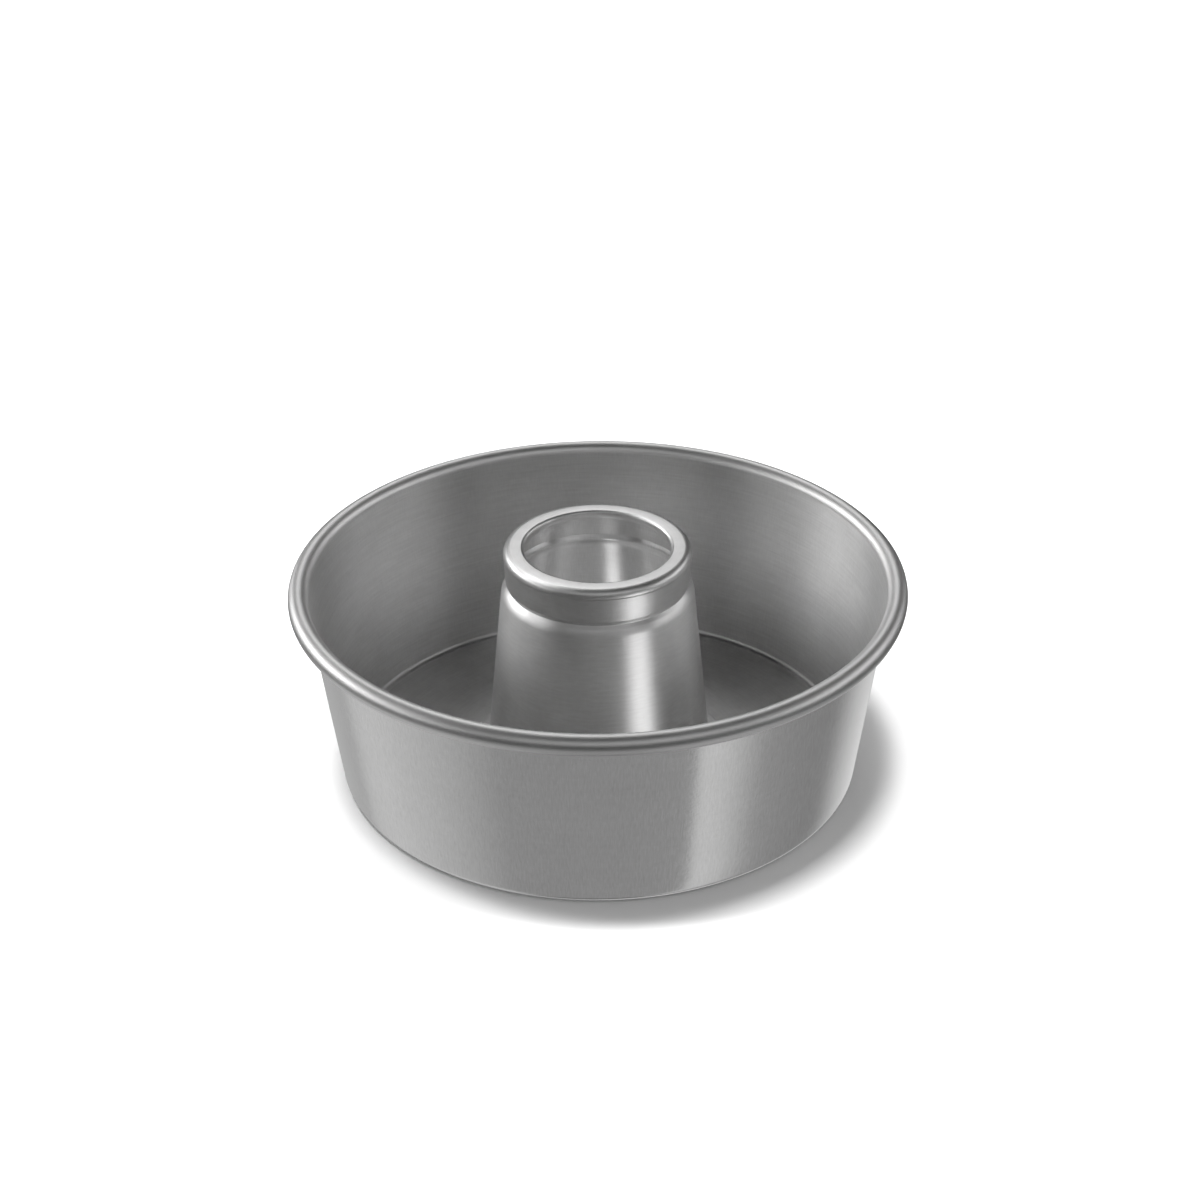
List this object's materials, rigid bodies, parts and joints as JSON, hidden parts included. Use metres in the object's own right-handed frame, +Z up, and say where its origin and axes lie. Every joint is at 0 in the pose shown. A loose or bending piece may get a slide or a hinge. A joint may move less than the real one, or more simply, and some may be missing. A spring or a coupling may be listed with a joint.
{
  "type": "angel food cake pan",
  "caption": "Round flared tube pan with a wired rolled rim and a tall open centre tube with a flat-topped collar, staked through the floor.",
  "frame": {"origin": "centre of the base, on the surface that the pan stands on", "axes": "+Z up along the axis of the pan and its tube; the pan is round, so X and Y are free"},
  "size_m": [0.2032, 0.2032, 0.0802],
  "materials": {
    "pan_sheet": "satin aluminium sheet with a fine vertical grain on the outside and crossed brushing inside",
    "wire_steel": "plain drawn steel wire, hidden inside the rolled rim",
    "tube_sheet": "satin aluminium sheet, smoother than the pan, with a matt top ring"
  },
  "bodies": {
    "root": {"pan_body": "pan_sheet", "rim_wire": "wire_steel", "centre_tube": "tube_sheet"}
  },
  "joints": []
}
